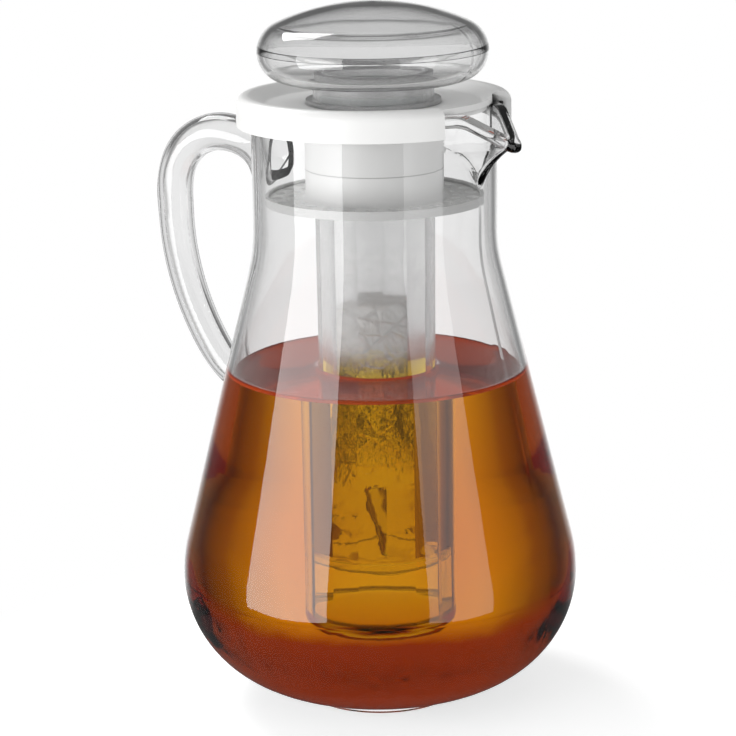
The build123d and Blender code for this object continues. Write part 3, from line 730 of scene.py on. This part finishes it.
def ice_rings():
    """Rings of the ice, from its underside over its rim to the hollow in its top."""
    foot = ICE_TOP_RADIUS + (ICE_TOP - ICE_BOTTOM) * ICE_TAPER
    rings = [(ICE_AXIS, ICE_BOTTOM), (0.012, ICE_BOTTOM - 0.2 * MM),
             (foot - 1.6 * MM, ICE_BOTTOM), (foot - 0.4 * MM, ICE_BOTTOM + 0.6 * MM)]
    for k in range(ICE_STEPS + 1):
        height = ICE_LOW + (ICE_HIGH - ICE_LOW) * k / ICE_STEPS
        rings.append((ICE_TOP_RADIUS + (ICE_TOP - height) * ICE_TAPER, height))
    rings += [(ICE_TOP_RADIUS - 0.6 * MM, ICE_TOP - 1.2 * MM), (ICE_TOP_RADIUS - 2.4 * MM, ICE_TOP),
              (0.006, ICE_TOP - 1.5 * MM), (ICE_AXIS, ICE_TOP - 2.5 * MM)]
    return rings


ice = pull_rings("ice_block", ice_rings(), ICE_FACETS)

# %% Melted hollows
HOLLOW_WIDTH = 11 * MM
HOLLOW_DEPTH = 3 * MM

melting = bpy.data.textures.new("melting", "CLOUDS")
melting.noise_scale = HOLLOW_WIDTH
push = ice.modifiers.new("melting", "DISPLACE")
push.texture = melting
push.texture_coords = "LOCAL"
push.strength = HOLLOW_DEPTH
push.mid_level = 0.55
bpy.ops.object.modifier_apply(modifier=push.name)
print("widest place of the ice", round(max(ice.dimensions.x, ice.dimensions.y), 4))

# %% [markdown]
# Water freezes from the outside in and leaves a long air bubble where it freezes last. In the
# photograph it stands in front of the block's middle. It is a capsule in the same piece, with its
# faces turned inwards, because the air is on that side.

# %% Long bubble
BUBBLE_LOW = Vector((0.0, 0.0, 0.0665))
BUBBLE_LENGTH = 0.0275
BUBBLE_RADIUS = 0.0027
BUBBLE_TILT = 8.0
BUBBLE_OUT = 0.0085
BUBBLE_TURN = 12.0
BUBBLE_FACETS = 32
CAP_STEPS = 12
CAP_ANGLE = 88

capsule = []
for k in range(CAP_STEPS + 1):
    a = radians(-CAP_ANGLE + CAP_ANGLE * k / CAP_STEPS)
    capsule.append((BUBBLE_RADIUS * cos(a), BUBBLE_RADIUS * sin(a)))
capsule += [(r, BUBBLE_LENGTH - h) for r, h in reversed(capsule)]
bubble = pull_rings("ice_bubble", capsule, BUBBLE_FACETS)
at = radians(CAMERA_TURN - 90 + BUBBLE_TURN)
bubble.rotation_euler = (0, radians(-BUBBLE_TILT), at + radians(90))
bubble.location = BUBBLE_LOW + Vector((BUBBLE_OUT * cos(at), BUBBLE_OUT * sin(at), 0))
bpy.ops.object.transform_apply(location=True, rotation=True)
bpy.ops.object.mode_set(mode="EDIT")
bpy.ops.mesh.select_all(action="SELECT")
bpy.ops.mesh.flip_normals()
bpy.ops.object.mode_set(mode="OBJECT")
ice.select_set(True)
bpy.context.view_layer.objects.active = ice
bpy.ops.object.join()
print("ice with its bubble has", len(ice.data.polygons), "faces")

# %% [markdown]
# Fresh ice is clear and crazed, and turns white where it is frosted. Pits and a net of cracks make
# the bump, which is strong in the upper part and fades out below, where the block is smooth. Flaws
# that hold air, and the sharp rim underneath, turn the light aside, so against the light they look
# dark. That dark is painted shade here: a dark grey copy of the ice on those places. The top above
# the tea is frosted. Where the foot stands in melt water it bends light hardly at all, because ice
# and water have nearly the same index.

# %% Ice relief
PIT_WIDTH, CRACK_WIDTH = 4 * MM, 9 * MM
CALM_BELOW, ROUGH_ABOVE = 0.096, 0.112

frozen, tree = new_material("clear_ice_with_cracks")
point, height, _ = object_place(tree)
upright = add_node(tree, "Mapping", {"Vector": point, "Scale": (1, 1, 0.35)})
pits = add_node(tree, "TexNoise", {
    "Vector": upright, "Scale": 1 / PIT_WIDTH, "Detail": 3.0, "Roughness": 0.65})
cracks = add_node(tree, "TexVoronoi", {"Vector": point, "Scale": 1 / CRACK_WIDTH},
                  feature="DISTANCE_TO_EDGE")
crack = add_node(tree, "MapRange", {"Value": cracks, "From Max": 0.08})
faint_crack = add_node(tree, "Math", {0: crack, 1: 0.25}, operation="MULTIPLY")
relief = add_node(tree, "Math", {0: pits, 1: faint_crack}, operation="ADD")
calm = add_node(tree, "MapRange", {
    "Value": height, "From Min": CALM_BELOW, "From Max": ROUGH_ABOVE, "To Min": 0.03})
relief = add_node(tree, "Math", {0: relief, 1: calm}, operation="MULTIPLY")
bump = add_node(tree, "Bump", {"Height": relief, "Strength": 1.0, "Distance": 6.5 * MM})
print("relief fades out between", CALM_BELOW, "and", ROUGH_ABOVE)

# %% Ice flaws and their painted shade
FLAW_WIDTH = 3.5 * MM
FLAWS_FROM = 0.098
FROST_START, FROST_FULL = 0.148, 0.160
ICE_RIM_HEIGHT = ICE_BOTTOM + 1.2 * MM

# Painted shade: dark patches where air flaws would turn the light aside.
flaw_noise = add_node(tree, "TexNoise", {
    "Vector": upright, "Scale": 1 / FLAW_WIDTH, "Detail": 5.0, "Roughness": 0.7})
flaws = add_node(tree, "MapRange", {
    "Value": flaw_noise, "From Min": 0.53, "From Max": 0.60, "To Max": 0.85})
band = add_node(tree, "MapRange", {"Value": height, "From Min": FLAWS_FROM, "From Max": ROUGH_ABOVE})
frost = add_node(tree, "MapRange", {"Value": height, "From Min": FROST_START, "From Max": FROST_FULL})
below_frost = add_node(tree, "Math", {0: 1.0, 1: frost}, operation="SUBTRACT")
in_band = add_node(tree, "Math", {0: band, 1: below_frost}, operation="MULTIPLY")
flawed = add_node(tree, "Math", {0: flaws, 1: in_band}, operation="MULTIPLY")
# Painted shade: a dark band along the underside rim, where the sharp edge would turn light aside.
above = add_node(tree, "Math", {0: height, 1: ICE_RIM_HEIGHT}, operation="SUBTRACT")
off_rim = add_node(tree, "Math", {0: above}, operation="ABSOLUTE")
rim = add_node(tree, "MapRange", {
    "Value": off_rim, "From Min": 0.4 * MM, "From Max": 0.9 * MM, "To Min": 0.6, "To Max": 0.0})
painted_shade_places = add_node(tree, "Math", {0: flawed, 1: rim}, operation="MAXIMUM")
print("flaws from", FLAWS_FROM, "up to the frost at", FROST_START)

# %% Ice finish
ICE_INDEX = 1.31
ICE_COLOUR = "F4F6F6"

clear_ice = {"Base Color": colour(ICE_COLOUR), "Roughness": 0.03, "Transmission Weight": 1.0,
             "Normal": bump}
dry = add_node(tree, "BsdfPrincipled", {**clear_ice, "IOR": ICE_INDEX})
under = add_node(tree, "BsdfPrincipled", {**clear_ice, "IOR": ICE_INDEX / WATER_INDEX})
frosted = add_node(tree, "BsdfPrincipled", {
    "Base Color": colour("F2EFEA"), "Roughness": 0.22, "IOR": ICE_INDEX,
    "Transmission Weight": 0.55, "Normal": bump})
# A dark grey copy of the ice, painted shade for the flaws and the rim.
painted_dark_flaws = add_node(tree, "BsdfPrincipled", {
    "Base Color": colour("6E6A60"), "Roughness": 0.12, "IOR": ICE_INDEX,
    "Transmission Weight": 0.55, "Normal": bump})
dipped = add_node(tree, "Math", {0: height, 1: MELT_LEVEL}, operation="LESS_THAN")
both = add_node(tree, "MixShader", {0: dipped, 1: dry, 2: under})
both = add_node(tree, "MixShader", {0: frost, 1: both, 2: frosted})
both = add_node(tree, "MixShader", {0: painted_shade_places, 1: both, 2: painted_dark_flaws})
surface = let_lamps_through(tree, both, colour("F1F1F1"))
inner = add_node(tree, "VolumeAbsorption", {"Color": colour("E2E2E2"), "Density": 6.0})
add_node(tree, "OutputMaterial", {"Surface": surface, "Volume": inner})
ice.data.materials.append(frozen)
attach(ice, "tube")
print(frozen.name, "on", ice.name)

# %% [markdown]
# ## View settings
# The view settings stay plain, so that a colour shows as it is written.

# %% Finish
scene.view_settings.view_transform = "Standard"
